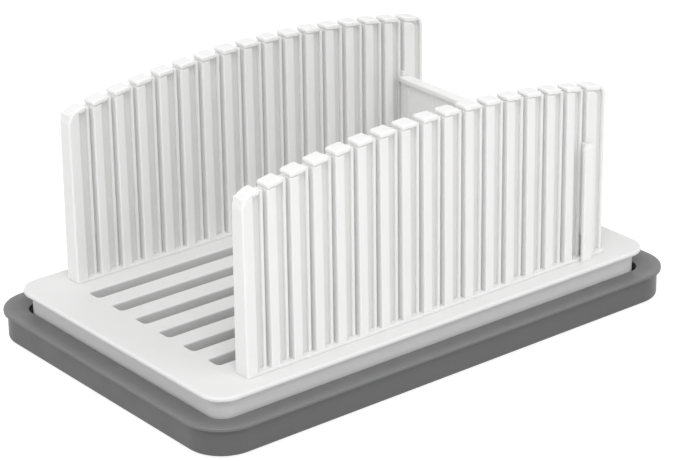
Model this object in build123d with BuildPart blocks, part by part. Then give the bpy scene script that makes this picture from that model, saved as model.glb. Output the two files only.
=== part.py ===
from build123d import *
import os
from math import atan2, degrees, sqrt

# Bread slicer guide: a knock-down kitchen tool in white and grey moulded plastic.
# A loaf stands between two comb walls and a knife runs down through a pair of facing slits.
# Crumbs fall through the slots of the deck into the tray below.
#
# Frame: millimetres, +Z up, +Y along the loaf from the open front to the back stop,
# X across the loaf. The origin is on the surface the feet stand on, in the middle of the tray.

# ---------------------------------------------------------------- driving sizes
# Comb walls
slice_pitch = 12.7          # one knife slit every half inch
tooth_count = 17            # teeth of one wall
bar_width = 4.9             # full-thickness bar of a tooth, along Y
first_bar_width = 6.1       # the front tooth's bar is wider and ends the wall
last_bar_width = 6.8        # and so is the last tooth's bar
web_run = 4.9               # thin web behind a bar, along Y
bead_width = 1.3            # thicker bead that edges the knife slit
web_thickness = 2.2
bead_thickness = 4.8
wall_base_thickness = 9.2   # across X at the deck
wall_top_thickness = 7.7    # across X at the crown
crown_height = 97.5         # deck to the top of the arch
arch_radius = 531.0         # side view of the tooth tops
rail_height = 1.4           # solid rail under the slits, above the deck
rail_proud = 0.3            # foot of the wall, past the bars' faces
cap_height = 2.4            # rim on top of a tooth
cap_run = 8.4               # length of that rim along Y
cap_proud = 0.3             # how far it stands out of the bar's face
cap_groove = 0.4            # shadow line between a bar and its cap
groove_depth = 0.5
notch_depth = 2.0           # the web's top lies this far under the cap's top
bar_edge_round = 0.7
cap_end_round = 0.9
cap_edge_round = 0.6
front_corner_round = 8.0
back_corner_round = 6.0
last_bar_corner_round = 3.6
loaf_gap = 125.0            # clear width between the walls at the deck

# Tabs that plug a wall into the deck
tab_count = 3
tab_length = 30.0
tab_thickness = 4.0
tab_depth = 8.0
tab_spacing = 80.0
tab_clearance = 0.2         # all round in the socket
socket_wall = 2.0

# Deck
deck_side_margin = 9.8      # from a wall's outer face to the deck's edge
deck_front_margin = 24.3    # from the wall's front end to the deck's edge
deck_back_margin = 22.6
deck_thickness = 2.6
deck_corner_radius = 12.0
deck_edge_round = 1.1
slot_count = 6
slot_width = 8.2
slot_pitch = 19.0
slot_front_margin = 23.0    # from the deck's front edge
slot_back_gap = 7.0         # from the slots' far ends to the back stop
slot_corner_radius = 2.0
slot_edge_round = 0.8
slat_depth = 6.0            # the slats between the slots are deeper than the plate
skirt_inset = 3.4           # skirt's outer face inside the deck's edge
skirt_thickness = 2.0
skirt_height = 20.2         # from the tray's floor to the deck's underside

# Crumb tray
tray_clearance = 1.2        # skirt to the tray's inner wall
rim_width = 11.9            # inner wall to the lip's outer edge
rim_fall = 1.2              # the rim slopes down towards the deck by this much
rim_flat = 1.2              # level edge of the lip
lip_overhang = 1.9          # lip past the outer wall
lip_thickness = 1.6
tray_wall = 2.0
tray_floor = 1.8
tray_height = 15.5          # from the surface to the top of the lip
tray_corner_radius = 20.5   # of the lip
basin_corner_radius = 9.0
tray_foot_round = 1.2       # outer bottom edge

# Non-slip feet
foot_radius = 7.0
foot_drop = 0.8             # how far a foot holds the tray's floor off the surface
foot_recess = 0.6
foot_clearance = 0.15
foot_side_inset = 16.0      # foot's centre from the inner wall
foot_end_inset = 16.0

# Back stop
stop_height = 57.6          # deck to the top of the stop
stop_thickness = 2.6
stop_rim_depth = 5.8        # along Y
stop_rim_height = 2.6
stop_side_clearance = 0.4   # to the feet of the walls
neck_clearance = 0.2        # to each side of the knife slit
neck_bottom = 12.6          # above the deck, so that a wall can be drawn up past it
end_rise = 2.4              # necks and posts stand this much above the stop's top
post_thickness = 2.5
post_top_chamfer = 2.2      # along the post's front top edge
post_edge_round = 0.8
stop_rib_pitch = 19.0
stop_rib_count = 7
stop_rib_width = 1.6
stop_rib_proud = 1.0
stop_rib_drop = 4.6         # from the stop's top to the ribs' tops
stop_rim_round = 0.8

# ---------------------------------------------------------------- worked-out places
slit_width = slice_pitch - bar_width - web_run - bead_width
teeth_run = first_bar_width + (tooth_count - 1) * slice_pitch - bar_width
wall_length = teeth_run + last_bar_width + web_run + bead_width
wall_mid_x = loaf_gap / 2 + wall_base_thickness / 2
wall_outer_x = loaf_gap / 2 + wall_base_thickness

deck_length = deck_front_margin + wall_length + deck_back_margin
deck_width = 2 * (wall_outer_x + deck_side_margin)
wall_front_y = -deck_length / 2 + deck_front_margin
wall_back_y = wall_front_y + wall_length

floor_bottom_z = foot_drop
floor_top_z = floor_bottom_z + tray_floor
deck_under_z = floor_top_z + skirt_height
deck_top_z = deck_under_z + deck_thickness
crown_z = deck_top_z + crown_height

skirt_width = deck_width - 2 * skirt_inset
skirt_length = deck_length - 2 * skirt_inset
skirt_corner_radius = deck_corner_radius - skirt_inset / 2
basin_width = skirt_width + 2 * tray_clearance
basin_length = skirt_length + 2 * tray_clearance
lip_width = basin_width + 2 * rim_width
lip_length = basin_length + 2 * rim_width
tray_width = lip_width - 2 * lip_overhang
tray_length = lip_length - 2 * lip_overhang

last_bar_y = wall_front_y + teeth_run
stop_y = last_bar_y - slit_width / 2
root_z = deck_top_z + rail_height / 2
stop_front_y = stop_y - stop_rim_depth / 2
slot_front_y = -deck_length / 2 + slot_front_margin
slot_back_y = stop_front_y - slot_back_gap
stop_top_z = deck_top_z + stop_height


def bar_near_y(tooth):
    """Front edge of a tooth's bar; the first bar starts further forward than the pitch says."""
    if tooth == 0:
        return wall_front_y
    return wall_front_y + first_bar_width - bar_width + tooth * slice_pitch


def bar_far_y(tooth):
    """Back edge of a tooth's bar."""
    if tooth == 0:
        return wall_front_y + first_bar_width
    if tooth == tooth_count - 1:
        return bar_near_y(tooth) + last_bar_width
    return bar_near_y(tooth) + bar_width


def arch_z(y, drop=0.0):
    """Height of the arch over the deck's middle, less a drop; the crown is midway along the wall."""
    along = y - (wall_front_y + wall_back_y) / 2
    return crown_z - drop - (arch_radius - sqrt(arch_radius**2 - along**2))


def wall_thickness_at(z):
    """The moulding's draft: a wall is thickest at the deck."""
    share = (z - deck_top_z) / crown_height
    return wall_base_thickness + (wall_top_thickness - wall_base_thickness) * share


# ---------------------------------------------------------------- comb wall, about its own mid-plane
def side_plate(outline, thickness):
    """Plate cut to a side view, centred on the wall's mid-plane."""
    with BuildPart() as plate:
        extrude(outline, amount=thickness / 2, both=True)
    return plate.part


def sloped_outline(near, far, bottom_z, drop, near_round=0.0, far_round=0.0):
    """Side view with a level bottom and a top that follows the arch, its top corners rounded."""
    with BuildSketch(Plane.YZ) as outline:
        with BuildLine():
            Polyline(
                (near, bottom_z),
                (far, bottom_z),
                (far, arch_z(far, drop)),
                (near, arch_z(near, drop)),
                close=True,
            )
        make_face()
        if near_round:
            near_corner = outline.vertices().group_by(Axis.X)[0].sort_by(Axis.Y)[-1]
            fillet(near_corner, near_round)
        if far_round:
            far_corner = outline.vertices().group_by(Axis.X)[-1].sort_by(Axis.Y)[-1]
            fillet(far_corner, far_round)
    return outline.sketch


def tooth_bar(tooth):
    """Full-thickness bar, drafted in X, its long edges rounded, its top cut to the slope of the arch."""
    near, far = bar_near_y(tooth), bar_far_y(tooth)
    drop = 0.0 if tooth == 0 else cap_height + cap_groove
    near_round = front_corner_round if tooth == 0 else 0.0
    far_round = last_bar_corner_round if tooth == tooth_count - 1 else 0.0
    outline_far = far + (web_run if tooth == 0 else 0.0)
    outline = sloped_outline(near, outline_far, root_z, drop, near_round, far_round)
    with BuildPart() as bar:
        with BuildSketch(Plane.XZ.offset(-near)):
            with BuildLine():
                Polyline(
                    (-wall_base_thickness / 2, deck_top_z),
                    (wall_base_thickness / 2, deck_top_z),
                    (wall_top_thickness / 2, crown_z),
                    (-wall_top_thickness / 2, crown_z),
                    close=True,
                )
            make_face()
        extrude(amount=-(far - near))
        extrude(outline, amount=wall_base_thickness, both=True, mode=Mode.INTERSECT)
        long_edges = bar.edges().filter_by(lambda edge: edge.length > crown_height / 2)
        fillet(long_edges, bar_edge_round)
    return bar.part


def tooth_cap(tooth):
    """Rim on top of a tooth: a little proud of the bar, with soft edges, sloped with the arch."""
    near = bar_near_y(tooth)
    if tooth == 0:
        near = bar_near_y(0) + front_corner_round - cap_height
    far = bar_far_y(0) - bar_width + cap_run + tooth * slice_pitch
    with BuildPart() as cap:
        with BuildSketch(Plane.YZ) as side:
            with BuildLine():
                Polyline(
                    (near, arch_z(near, cap_height)),
                    (far, arch_z(far, cap_height)),
                    (far, arch_z(far)),
                    (near, arch_z(near)),
                    close=True,
                )
            make_face()
            fillet(side.vertices(), cap_end_round)
        extrude(amount=wall_top_thickness / 2 + cap_proud, both=True)
        side_rims = cap.faces().filter_by(Axis.X).edges()
        fillet(side_rims, cap_edge_round)
    return cap.part


def tooth_core(tooth):
    """What joins a bar to its cap inside the groove."""
    near = bar_near_y(tooth) + groove_depth
    far = bar_near_y(tooth) + bar_width - groove_depth
    below_z = arch_z(near, cap_height + cap_groove + 2 * bar_edge_round)
    outline = sloped_outline(near, far, below_z, cap_height / 2)
    return side_plate(outline, wall_top_thickness - 2 * groove_depth)


def tooth_web(tooth):
    """Thin web in the wall's mid-plane, with the bead that edges the knife slit behind it."""
    near, far = bar_near_y(tooth) + bar_width / 2, bar_far_y(tooth) + web_run + bead_width
    is_last = tooth == tooth_count - 1
    drop = 0.0 if is_last else notch_depth
    corner = back_corner_round if is_last else 0.0
    edge = bead_width if is_last else 0.0
    full = sloped_outline(near, far, root_z, drop, 0.0, corner)
    inner = sloped_outline(near, far - bead_width, root_z, drop + edge, 0.0, corner and corner - edge)
    bead = side_plate(full, bead_thickness)
    hollow = side_plate(inner, 2 * bead_thickness)
    plate = side_plate(inner, web_thickness)
    with BuildPart() as web:
        add(bead)
        add(hollow, mode=Mode.SUBTRACT)
        add(plate)
    return web.part


teeth = []
for tooth_index in range(tooth_count):
    teeth += [tooth_bar(tooth_index), tooth_web(tooth_index), tooth_cap(tooth_index)]
    teeth.append(tooth_core(tooth_index))

with BuildPart() as comb:
    # bottom rail, which ties the teeth together on the deck
    with BuildSketch(Plane.XY.offset(deck_top_z)):
        with Locations((0, (wall_front_y + wall_back_y) / 2)):
            RectangleRounded(wall_base_thickness + 2 * rail_proud, wall_length, bar_edge_round)
    extrude(amount=rail_height)
    add(teeth)
    # tabs that plug into the deck
    with Locations((0, (wall_front_y + wall_back_y) / 2, deck_top_z)):
        with GridLocations(1, tab_spacing, 1, tab_count):
            Box(tab_thickness, tab_length, tab_depth, align=(Align.CENTER, Align.CENTER, Align.MAX))

with BuildPart() as left_wall:
    with Locations((-wall_mid_x, 0, 0)):
        add(comb.part)
left_wall.part.label = "left_wall"

with BuildPart() as right_wall:
    with Locations((wall_mid_x, 0, 0)):
        add(comb.part)
right_wall.part.label = "right_wall"

# ---------------------------------------------------------------- slotted deck
slot_length = slot_back_y - slot_front_y
slot_middle_y = (slot_front_y + slot_back_y) / 2
wall_middle_y = (wall_front_y + wall_back_y) / 2

with BuildPart() as slotted_deck:
    # plate with soft edges
    with BuildSketch(Plane.XY.offset(deck_under_z)):
        RectangleRounded(deck_width, deck_length, deck_corner_radius)
    extrude(amount=deck_thickness)
    plate_rims = slotted_deck.faces().filter_by(Axis.Z).edges()
    fillet(plate_rims, deck_edge_round)
    # skirt that stands on the tray's floor
    with BuildSketch(Plane.XY.offset(floor_top_z)):
        RectangleRounded(skirt_width, skirt_length, skirt_corner_radius)
        RectangleRounded(
            skirt_width - 2 * skirt_thickness,
            skirt_length - 2 * skirt_thickness,
            skirt_corner_radius - skirt_thickness,
            mode=Mode.SUBTRACT,
        )
    extrude(amount=skirt_height)
    # deeper field that the slats between the slots are cut from
    with BuildSketch(Plane.XY.offset(deck_top_z - slat_depth)):
        with Locations((0, slot_middle_y)):
            Rectangle(
                (slot_count - 1) * slot_pitch + slot_width + 2 * skirt_thickness,
                slot_length + 2 * skirt_thickness,
            )
    extrude(amount=slat_depth - deck_thickness)
    # socket blocks under the plate, one for each tab
    with Locations((-wall_mid_x, wall_middle_y, deck_under_z), (wall_mid_x, wall_middle_y, deck_under_z)):
        with GridLocations(1, tab_spacing, 1, tab_count):
            Box(
                tab_thickness + 2 * (tab_clearance + socket_wall),
                tab_length + 2 * (tab_clearance + socket_wall),
                tab_depth,
                align=(Align.CENTER, Align.CENTER, Align.MAX),
            )
    # crumb slots
    with BuildSketch(Plane.XY.offset(deck_top_z)) as slot_sketch:
        with Locations((0, slot_middle_y)):
            with GridLocations(slot_pitch, 1, slot_count, 1):
                RectangleRounded(slot_width, slot_length, slot_corner_radius)
    extrude(amount=-slat_depth, mode=Mode.SUBTRACT)
    deck_face = slotted_deck.faces().filter_by(Axis.Z).sort_by(Axis.Z)[-1]
    slot_rims = deck_face.inner_wires().edges()
    fillet(slot_rims, slot_edge_round)
    # sockets
    with Locations((-wall_mid_x, wall_middle_y, deck_top_z), (wall_mid_x, wall_middle_y, deck_top_z)):
        with GridLocations(1, tab_spacing, 1, tab_count):
            Box(
                tab_thickness + 2 * tab_clearance,
                tab_length + 2 * tab_clearance,
                deck_thickness + tab_depth,
                align=(Align.CENTER, Align.CENTER, Align.MAX),
                mode=Mode.SUBTRACT,
            )
slotted_deck.part.label = "slotted_deck"

# ---------------------------------------------------------------- crumb tray
rim_inner_z = tray_height - rim_fall
foot_x = basin_width / 2 - foot_side_inset
foot_y = basin_length / 2 - foot_end_inset
tray_radius = tray_corner_radius - lip_overhang

with BuildPart() as crumb_tray:
    # outer wall
    with BuildSketch(Plane.XY.offset(floor_bottom_z)):
        RectangleRounded(tray_width, tray_length, tray_radius)
    extrude(amount=tray_height - lip_thickness - floor_bottom_z)
    fillet(crumb_tray.faces().sort_by(Axis.Z)[0].edges(), tray_foot_round)
    # lip
    with BuildSketch(Plane.XY.offset(tray_height - lip_thickness)):
        RectangleRounded(lip_width, lip_length, tray_corner_radius)
    extrude(amount=lip_thickness)
    lip_rims = crumb_tray.faces().sort_by(Axis.Z)[-1].edges()
    fillet(lip_rims, lip_thickness / 3)
    # rim sloping down to the basin
    with BuildSketch(Plane.XY.offset(tray_height)):
        RectangleRounded(lip_width - 2 * rim_flat, lip_length - 2 * rim_flat, tray_corner_radius - rim_flat)
    with BuildSketch(Plane.XY.offset(rim_inner_z)):
        RectangleRounded(basin_width, basin_length, basin_corner_radius)
    loft(ruled=True, mode=Mode.SUBTRACT)
    # basin
    with BuildSketch(Plane.XY.offset(floor_top_z)):
        RectangleRounded(basin_width, basin_length, basin_corner_radius)
    extrude(amount=tray_height, mode=Mode.SUBTRACT)
    # channel under the rim, open downwards, as such a tray is cored out
    with BuildSketch(Plane.XY.offset(floor_bottom_z)):
        RectangleRounded(tray_width - 2 * tray_wall, tray_length - 2 * tray_wall, tray_radius - tray_wall)
        RectangleRounded(
            basin_width + 2 * tray_wall,
            basin_length + 2 * tray_wall,
            basin_corner_radius + tray_wall,
            mode=Mode.SUBTRACT,
        )
    extrude(amount=rim_inner_z - lip_thickness - floor_bottom_z, mode=Mode.SUBTRACT)
    # recesses for the feet
    with Locations((0, 0, floor_bottom_z)):
        with GridLocations(2 * foot_x, 2 * foot_y, 2, 2):
            Cylinder(
                foot_radius + foot_clearance,
                foot_recess,
                align=(Align.CENTER, Align.CENTER, Align.MIN),
                mode=Mode.SUBTRACT,
            )
crumb_tray.part.label = "crumb_tray"

# ---------------------------------------------------------------- non-slip feet
foot_places = {
    "front_left_foot": (-foot_x, -foot_y),
    "front_right_foot": (foot_x, -foot_y),
    "back_left_foot": (-foot_x, foot_y),
    "back_right_foot": (foot_x, foot_y),
}
feet = []
for foot_name, foot_place in foot_places.items():
    with BuildPart() as foot:
        with Locations((*foot_place, 0)):
            Cylinder(foot_radius, foot_drop + foot_recess, align=(Align.CENTER, Align.CENTER, Align.MIN))
        fillet(foot.faces().sort_by(Axis.Z)[0].edges(), foot_drop / 2)
    foot.part.label = foot_name
    feet.append(foot.part)

# ---------------------------------------------------------------- back stop
panel_half_width = loaf_gap / 2 - rail_proud - stop_side_clearance
wing_half_width = wall_mid_x - bead_thickness / 2 - stop_side_clearance
post_inner_x = wall_outer_x + rail_proud + stop_side_clearance
neck_thickness = slit_width - 2 * neck_clearance
neck_height = stop_height + end_rise - neck_bottom
rib_height = stop_height - stop_rib_drop
neck_back_y = stop_y + neck_thickness / 2
wing_bottom_z = deck_top_z + neck_bottom

with BuildPart() as back_stop:
    # thick top rim between the walls
    with Locations((0, stop_y, stop_top_z)):
        Box(2 * panel_half_width, stop_rim_depth, stop_rim_height, align=(Align.CENTER, Align.CENTER, Align.MAX))
    rim_edges = back_stop.edges().filter_by(Axis.X).group_by(Axis.Z)[-1]
    fillet(rim_edges, stop_rim_round)
    # panel between the walls
    with Locations((0, stop_y, deck_top_z)):
        Box(
            2 * panel_half_width,
            stop_thickness,
            stop_height - stop_rim_height / 2,
            align=(Align.CENTER, Align.CENTER, Align.MIN),
        )
    # wings that reach past the bars' faces to the beads of the last slits
    with Locations((0, neck_back_y, wing_bottom_z)):
        Box(
            2 * wing_half_width,
            stop_thickness / 2 + neck_thickness / 2,
            stop_height - neck_bottom - stop_rim_height / 2,
            align=(Align.CENTER, Align.MAX, Align.MIN),
        )
    with Locations((0, neck_back_y, stop_top_z - stop_rim_round / 2)):
        Box(
            2 * wing_half_width,
            stop_rim_depth / 2 + neck_thickness / 2 - stop_rim_round / 2,
            stop_rim_height - stop_rim_round / 2,
            align=(Align.CENTER, Align.MAX, Align.MAX),
        )
    # ribs on the front face
    with Locations((0, stop_y - stop_thickness / 2, deck_top_z)):
        with GridLocations(stop_rib_pitch, 1, stop_rib_count, 1):
            Box(
                stop_rib_width,
                2 * stop_rib_proud,
                rib_height,
                align=(Align.CENTER, Align.CENTER, Align.MIN),
            )
    # necks that pass through the last slit of each wall
    for side in (-1, 1):
        with Locations((side * (panel_half_width + post_inner_x + post_thickness) / 2, stop_y, wing_bottom_z)):
            Box(
                post_inner_x - panel_half_width + post_thickness / 2,
                neck_thickness,
                neck_height,
                align=(Align.CENTER, Align.CENTER, Align.MIN),
            )
    # posts outside the walls
    with BuildSketch(Plane.XY.offset(deck_top_z)):
        with Locations(
            (post_inner_x + post_thickness / 2, stop_y),
            (-post_inner_x - post_thickness / 2, stop_y),
        ):
            RectangleRounded(post_thickness, stop_rim_depth, post_edge_round)
    extrude(amount=stop_height + end_rise)
    # slope along the posts' front top edge
    with BuildSketch(Plane.YZ):
        with BuildLine():
            Polyline(
                (stop_front_y - 1, stop_top_z + end_rise + 1),
                (stop_front_y - 1, stop_top_z + end_rise - post_top_chamfer - 1),
                (stop_front_y + post_top_chamfer + 1, stop_top_z + end_rise + 1),
                close=True,
            )
        make_face()
    extrude(amount=post_inner_x + 2 * post_thickness, both=True, mode=Mode.SUBTRACT)
back_stop.part.label = "back_stop"

# ---------------------------------------------------------------- output
print(f"slit {slit_width:.2f} mm, wall {wall_length:.1f} mm long, deck {deck_width:.1f} x {deck_length:.1f} mm")
print(f"tray {lip_width:.1f} x {lip_length:.1f} mm, crown at {crown_z:.1f} mm, stop at y {stop_y:.1f} mm")

os.makedirs("parts", exist_ok=True)
pieces = [crumb_tray.part, *feet, slotted_deck.part, left_wall.part, right_wall.part, back_stop.part]
for piece in pieces:
    export_step(piece, f"parts/{piece.label}.step")
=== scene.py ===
from math import cos, radians, sin

import bpy
import bmesh
from mathutils import Matrix, Vector

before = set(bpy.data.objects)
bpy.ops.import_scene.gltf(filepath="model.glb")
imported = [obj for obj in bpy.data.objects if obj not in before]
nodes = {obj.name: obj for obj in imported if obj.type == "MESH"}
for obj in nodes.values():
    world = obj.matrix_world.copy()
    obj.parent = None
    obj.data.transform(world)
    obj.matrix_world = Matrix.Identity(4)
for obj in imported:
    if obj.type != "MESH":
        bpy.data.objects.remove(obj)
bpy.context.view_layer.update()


# ---------------------------------------------------------------- non-slip feet
# Four low discs, taken as dark thermoplastic rubber, pressed into shallow recesses under the tray.
# The photograph doesn't show them. They are matt, with a fine rough grain.
mm = 0.001
noise_middle = (0.3, 0.7)   # most values of a noise lie between these
flow_mark_mm = 60.0
flow_mark_stretch = (1.0, 0.35, 1.0)    # the marks run long in Y
gloss_patch_mm = 9.0
gloss_spread = 0.05         # how far the roughness strays to either side
grain_strength = 0.6
milky_depth = 2.0 * mm      # how far light spreads inside the milky plastics


def link(tree, source, output, target, socket):
    """Joins one node's output to another node's input."""
    tree.links.new(source.outputs[output], target.inputs[socket])


def noise_node(tree, place, size_mm, detail, stretch=(1.0, 1.0, 1.0)):
    """Noise on the piece's own coordinates, with features of about the given size in millimetres."""
    turn = tree.nodes.new("ShaderNodeMapping")
    turn.inputs["Scale"].default_value = stretch
    link(tree, place, "Object", turn, "Vector")
    noise = tree.nodes.new("ShaderNodeTexNoise")
    noise.inputs["Scale"].default_value = 1.0 / (size_mm * mm)
    noise.inputs["Detail"].default_value = detail
    link(tree, turn, "Vector", noise, "Vector")
    return noise


def range_node(tree, noise, low, high):
    """Spreads the middle of a noise over a range of values."""
    spread = tree.nodes.new("ShaderNodeMapRange")
    spread.inputs["From Min"].default_value = noise_middle[0]
    spread.inputs["From Max"].default_value = noise_middle[1]
    spread.inputs["To Min"].default_value = low
    spread.inputs["To Max"].default_value = high
    link(tree, noise, "Fac", spread, "Value")
    return spread


def moulded_finish(name, colour, tint, roughness, grain_mm, grain_depth_mm, specular=0.5, milkiness=0.0):
    """Moulded surface: faint flow marks in colour and gloss over the fine even grain of the tool.

    milkiness is the share of light that spreads inside the plastic.
    """
    material = bpy.data.materials.new(name)
    material.use_nodes = True
    tree = material.node_tree
    shader = tree.nodes["Principled BSDF"]
    shader.inputs["Specular IOR Level"].default_value = specular
    shader.inputs["Subsurface Weight"].default_value = milkiness
    shader.inputs["Subsurface Radius"].default_value = (1.0, 1.0, 1.0)
    shader.inputs["Subsurface Scale"].default_value = milky_depth
    place = tree.nodes.new("ShaderNodeTexCoord")

    flow = noise_node(tree, place, flow_mark_mm, detail=3.0, stretch=flow_mark_stretch)
    shade = tree.nodes.new("ShaderNodeMix")
    shade.data_type = "RGBA"
    shade.inputs["A"].default_value = (*colour, 1.0)
    shade.inputs["B"].default_value = (*tint, 1.0)
    share = range_node(tree, flow, low=0.0, high=1.0)
    link(tree, share, "Result", shade, "Factor")
    link(tree, shade, "Result", shader, "Base Color")

    patches = noise_node(tree, place, gloss_patch_mm, detail=4.0)
    gloss = range_node(tree, patches, low=roughness - gloss_spread, high=roughness + gloss_spread)
    link(tree, gloss, "Result", shader, "Roughness")

    grain = noise_node(tree, place, grain_mm, detail=2.0)
    bump = tree.nodes.new("ShaderNodeBump")
    bump.inputs["Strength"].default_value = grain_strength
    bump.inputs["Distance"].default_value = grain_depth_mm * mm
    link(tree, grain, "Fac", bump, "Height")
    link(tree, bump, "Normal", shader, "Normal")
    return material


def dress(node, material):
    """Gives a moulding its finish on every face."""
    moulding = nodes[node]
    moulding.data.materials.clear()
    moulding.data.materials.append(material)


foot_rubber = moulded_finish(
    "foot_rubber", colour=(0.055, 0.055, 0.058), tint=(0.07, 0.07, 0.072),
    roughness=0.75, grain_mm=0.5, grain_depth_mm=0.05, specular=0.3)
for foot in ("front_left_foot", "front_right_foot", "back_left_foot", "back_right_foot"):
    dress(foot, foot_rubber)


# ---------------------------------------------------------------- crumb tray
# One moulding, taken as grey ABS, that stands on the feet, with a rim that slopes down to the basin
# and a thin lip. Its grey is painted with light and shade by height: the rim paler as painted light
# on its upward face, a painted highlight along the lip, the outer wall darker as painted shade, and a
# narrow band under the lip darker as the lip's painted shadow.
tray_plastic = moulded_finish(
    "tray_plastic", colour=(0.120, 0.120, 0.121), tint=(0.130, 0.130, 0.131),
    roughness=0.42, grain_mm=1.0, grain_depth_mm=0.006)
tray_top = 15.5 * mm
painted_light_span = 2.0             # the curve holds shares of the plain grey up to this
tray_painted_light = (              # height in mm, share of the plain grey
    # rows: outer wall painted shade, band under the lip painted shadow, rim painted light, lip painted
    # highlight
    (0.0, 0.76), (12.8, 0.76),      # outer wall
    (13.4, 0.44), (13.9, 0.44),     # band under the lip
    (14.2, 1.13), (15.0, 1.16),     # rim
    (15.4, 1.40), (15.5, 1.45))     # lip


def parts_of(tree, output):
    """X, Y and Z of the piece's own coordinates or of its normals."""
    place = tree.nodes.new("ShaderNodeTexCoord")
    parts = tree.nodes.new("ShaderNodeSeparateXYZ")
    link(tree, place, output, parts, "Vector")
    return parts


def math_node(tree, operation, source, output, value=0.0):
    """One step of arithmetic on a node's output and a number."""
    step = tree.nodes.new("ShaderNodeMath")
    step.operation = operation
    link(tree, source, output, step, 0)
    step.inputs[1].default_value = value
    return step


# The tray's grey is scaled by height with the painted light and shade of the curve.
tray_tree = tray_plastic.node_tree
tray_shader = tray_tree.nodes["Principled BSDF"]
tray_position = parts_of(tray_tree, "Object")
level = tray_tree.nodes.new("ShaderNodeMapRange")
level.inputs["From Max"].default_value = tray_top
link(tray_tree, tray_position, "Z", level, "Value")
painted_light_curve = tray_tree.nodes.new("ShaderNodeFloatCurve")
curve = painted_light_curve.mapping.curves[0]
while len(curve.points) < len(tray_painted_light):
    curve.points.new(0.5, 0.5)
for point, (height, share) in zip(curve.points, tray_painted_light):
    point.location = (height * mm / tray_top, share / painted_light_span)
    point.handle_type = "VECTOR"
painted_light_curve.mapping.update()
link(tray_tree, level, "Result", painted_light_curve, "Value")
painted_light_share = math_node(tray_tree, "MULTIPLY", painted_light_curve, "Value", painted_light_span)
painted_light_grey = tray_tree.nodes.new("ShaderNodeVectorMath")
painted_light_grey.operation = "SCALE"
plain_grey = tray_shader.inputs["Base Color"].links[0].from_socket
tray_tree.links.new(plain_grey, painted_light_grey.inputs[0])
link(tray_tree, painted_light_share, "Value", painted_light_grey, "Scale")
link(tray_tree, painted_light_grey, "Vector", tray_shader, "Base Color")
dress("crumb_tray", tray_plastic)


# ---------------------------------------------------------------- slotted deck
# One white moulding with a lightly textured face that the loaf stands on, six crumb slots
# and a plain skirt that drops into the tray.
deck_plastic = moulded_finish(
    "deck_plastic", colour=(0.775, 0.775, 0.772), tint=(0.75, 0.75, 0.747),
    roughness=0.5, grain_mm=0.7, grain_depth_mm=0.012, milkiness=0.25)
dress("slotted_deck", deck_plastic)


# ---------------------------------------------------------------- comb walls
# Two white mouldings, plugged into the deck by tabs. The bars of the teeth are satin, and the thin
# webs recessed between them are painted about a tenth darker as painted shade in the recesses.
wall_plastic = moulded_finish(
    "wall_plastic", colour=(0.84, 0.84, 0.835), tint=(0.815, 0.815, 0.813),
    roughness=0.42, grain_mm=1.2, grain_depth_mm=0.002, milkiness=0.6)
wall_middle_x = 67.1 * mm
web_half_depth = 1.6 * mm   # a web's faces are nearer than this to the wall's middle
facing_across = 0.7         # and their normals have at least this much X
# share of the white kept on the webs: painted shade of the recesses
web_painted_shade = (0.895, 0.893, 0.89)

wall_tree = wall_plastic.node_tree
wall_shader = wall_tree.nodes["Principled BSDF"]
wall_position = parts_of(wall_tree, "Object")
wall_facing = parts_of(wall_tree, "Normal")
from_centre = math_node(wall_tree, "ABSOLUTE", wall_position, "X")
from_middle = math_node(wall_tree, "SUBTRACT", from_centre, "Value", wall_middle_x)
depth = math_node(wall_tree, "ABSOLUTE", from_middle, "Value")
deep = math_node(wall_tree, "LESS_THAN", depth, "Value", web_half_depth)
across = math_node(wall_tree, "ABSOLUTE", wall_facing, "X")
flat = math_node(wall_tree, "GREATER_THAN", across, "Value", facing_across)
# mask of the recessed webs, where the shade is painted
web = math_node(wall_tree, "MULTIPLY", deep, "Value")
link(wall_tree, flat, "Value", web, 1)
painted_shade_white = wall_tree.nodes.new("ShaderNodeMix")
painted_shade_white.data_type = "RGBA"
painted_shade_white.blend_type = "MULTIPLY"
plain_white = wall_shader.inputs["Base Color"].links[0].from_socket
wall_tree.links.new(plain_white, painted_shade_white.inputs["A"])
painted_shade_white.inputs["B"].default_value = (*web_painted_shade, 1.0)
link(wall_tree, web, "Value", painted_shade_white, "Factor")
link(wall_tree, painted_shade_white, "Result", wall_shader, "Base Color")
for wall in ("left_wall", "right_wall"):
    dress(wall, wall_plastic)


# ---------------------------------------------------------------- back stop
# A white panel with a thick top rim. Its necks stand in a pair of knife slits,
# and a post outside each wall keeps it upright.
stop_plastic = moulded_finish(
    "stop_plastic", colour=(0.85, 0.85, 0.845), tint=(0.83, 0.83, 0.828),
    roughness=0.42, grain_mm=0.6, grain_depth_mm=0.006, milkiness=0.4)
dress("back_stop", stop_plastic)


# ---------------------------------------------------------------- studio
# A plain white floor and world, and three soft lamps: a broad one high on the front right, a weaker
# one ahead, and a weaker one on the right, slightly behind. The floor shows white to the camera and
# keeps the object's shadow.
white = (1.0, 1.0, 1.0, 1.0)
floor_half_side = 4.0
floor_drop = 0.1 * mm       # keeps the floor off the faces of the feet
floor_bounce = 0.8          # what the floor gives back to the object
floor_shadow = 0.3          # share of the seen floor that takes shadow
floor_glow = 0.86
sky_fill_strength = 0.67
sky_seen_strength = 1.0
lamp_aim = Vector((0.0, 0.0, 60.0 * mm))


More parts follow.
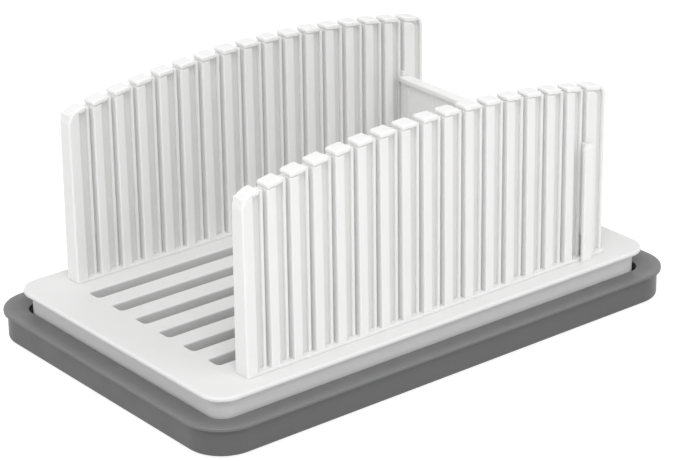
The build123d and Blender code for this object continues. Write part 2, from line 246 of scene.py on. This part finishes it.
def split_by_ray(tree, lighting, seen, out):
    """Uses one shader to light the object, and the other where the background itself is seen.

    It is seen by the camera, and off or through a glossy or clear surface.
    """
    rays = tree.nodes.new("ShaderNodeLightPath")
    camera_or_gloss = math_node(tree, "MAXIMUM", rays, "Is Camera Ray")
    link(tree, rays, "Is Glossy Ray", camera_or_gloss, 1)
    seen_ray = math_node(tree, "MAXIMUM", camera_or_gloss, "Value")
    link(tree, rays, "Is Transmission Ray", seen_ray, 1)
    split = tree.nodes.new("ShaderNodeMixShader")
    link(tree, seen_ray, "Value", split, 0)
    link(tree, lighting, 0, split, 1)
    link(tree, seen, 0, split, 2)
    link(tree, split, 0, out, "Surface")


def matt_grey(tree, level):
    """Plain matt paper of an even grey."""
    paint = tree.nodes.new("ShaderNodeBsdfDiffuse")
    paint.inputs["Color"].default_value = (level, level, level, 1.0)
    return paint


def white_sky(tree, strength):
    """Even white light from the world."""
    light = tree.nodes.new("ShaderNodeBackground")
    light.inputs["Color"].default_value = white
    light.inputs["Strength"].default_value = strength
    return light


floor_mesh = bmesh.new()
bmesh.ops.create_grid(
    floor_mesh, x_segments=1, y_segments=1, size=floor_half_side,
    matrix=Matrix.Translation((0.0, 0.0, -floor_drop)))
floor_data = bpy.data.meshes.new("floor")
floor_mesh.to_mesh(floor_data)
floor_mesh.free()
floor = bpy.data.objects.new("floor", floor_data)
bpy.context.scene.collection.objects.link(floor)
floor_paper = bpy.data.materials.new("floor_paper")
floor_paper.use_nodes = True
paper = floor_paper.node_tree
paper.nodes.clear()
paper_out = paper.nodes.new("ShaderNodeOutputMaterial")
paper_glow = paper.nodes.new("ShaderNodeEmission")
paper_glow.inputs["Strength"].default_value = floor_glow
paper_seen = paper.nodes.new("ShaderNodeAddShader")
link(paper, matt_grey(paper, floor_shadow), 0, paper_seen, 0)
link(paper, paper_glow, 0, paper_seen, 1)
split_by_ray(paper, matt_grey(paper, floor_bounce), paper_seen, paper_out)
floor_data.materials.append(floor_paper)

world = bpy.data.worlds.new("studio")
bpy.context.scene.world = world
world.use_nodes = True
sky = world.node_tree
sky.nodes.clear()
sky_out = sky.nodes.new("ShaderNodeOutputWorld")
split_by_ray(sky, white_sky(sky, sky_fill_strength), white_sky(sky, sky_seen_strength), sky_out)


def soft_lamp(name, place, size, power):
    """Square softbox that faces the middle of the object."""
    lamp_data = bpy.data.lights.new(name, "AREA")
    lamp_data.shape = "SQUARE"
    lamp_data.size = size
    lamp_data.energy = power
    lamp = bpy.data.objects.new(name, lamp_data)
    bpy.context.scene.collection.objects.link(lamp)
    aim_turn = (lamp_aim - Vector(place)).to_track_quat("-Z", "Y")
    lamp.matrix_world = Matrix.Translation(Vector(place)) @ aim_turn.to_matrix().to_4x4()


soft_lamp("high_softbox", place=(1.1, -0.8, 1.9), size=1.3, power=20.5)
soft_lamp("front_softbox", place=(-0.2, -2.0, 1.2), size=1.2, power=7.0)
soft_lamp("back_softbox", place=(1.7, 0.7, 1.2), size=1.0, power=6.5)

camera_azimuth, camera_elevation, camera_roll = radians(51.47), radians(23.14), radians(-0.75)
camera_distance = 1.29792
camera_target = Vector((0.0, 2.4 * mm, 43.14 * mm))
camera_data = bpy.data.cameras.new("camera")
camera_data.sensor_width = 36.0
camera_data.lens = 142.69
camera_data.clip_start = 0.05
camera_data.clip_end = 50.0
camera = bpy.data.objects.new("camera", camera_data)
bpy.context.scene.collection.objects.link(camera)
away = Vector((
    sin(camera_azimuth) * cos(camera_elevation),
    -cos(camera_azimuth) * cos(camera_elevation),
    sin(camera_elevation)))
level_right = Vector((cos(camera_azimuth), sin(camera_azimuth), 0.0))
level_up = away.cross(level_right)
camera_right = level_right * cos(camera_roll) + level_up * sin(camera_roll)
camera_up = level_up * cos(camera_roll) - level_right * sin(camera_roll)
camera_turn = Matrix((camera_right, camera_up, away)).transposed().to_4x4()
camera.matrix_world = Matrix.Translation(camera_target + away * camera_distance) @ camera_turn
bpy.context.scene.camera = camera
bpy.context.scene.view_settings.view_transform = "Standard"
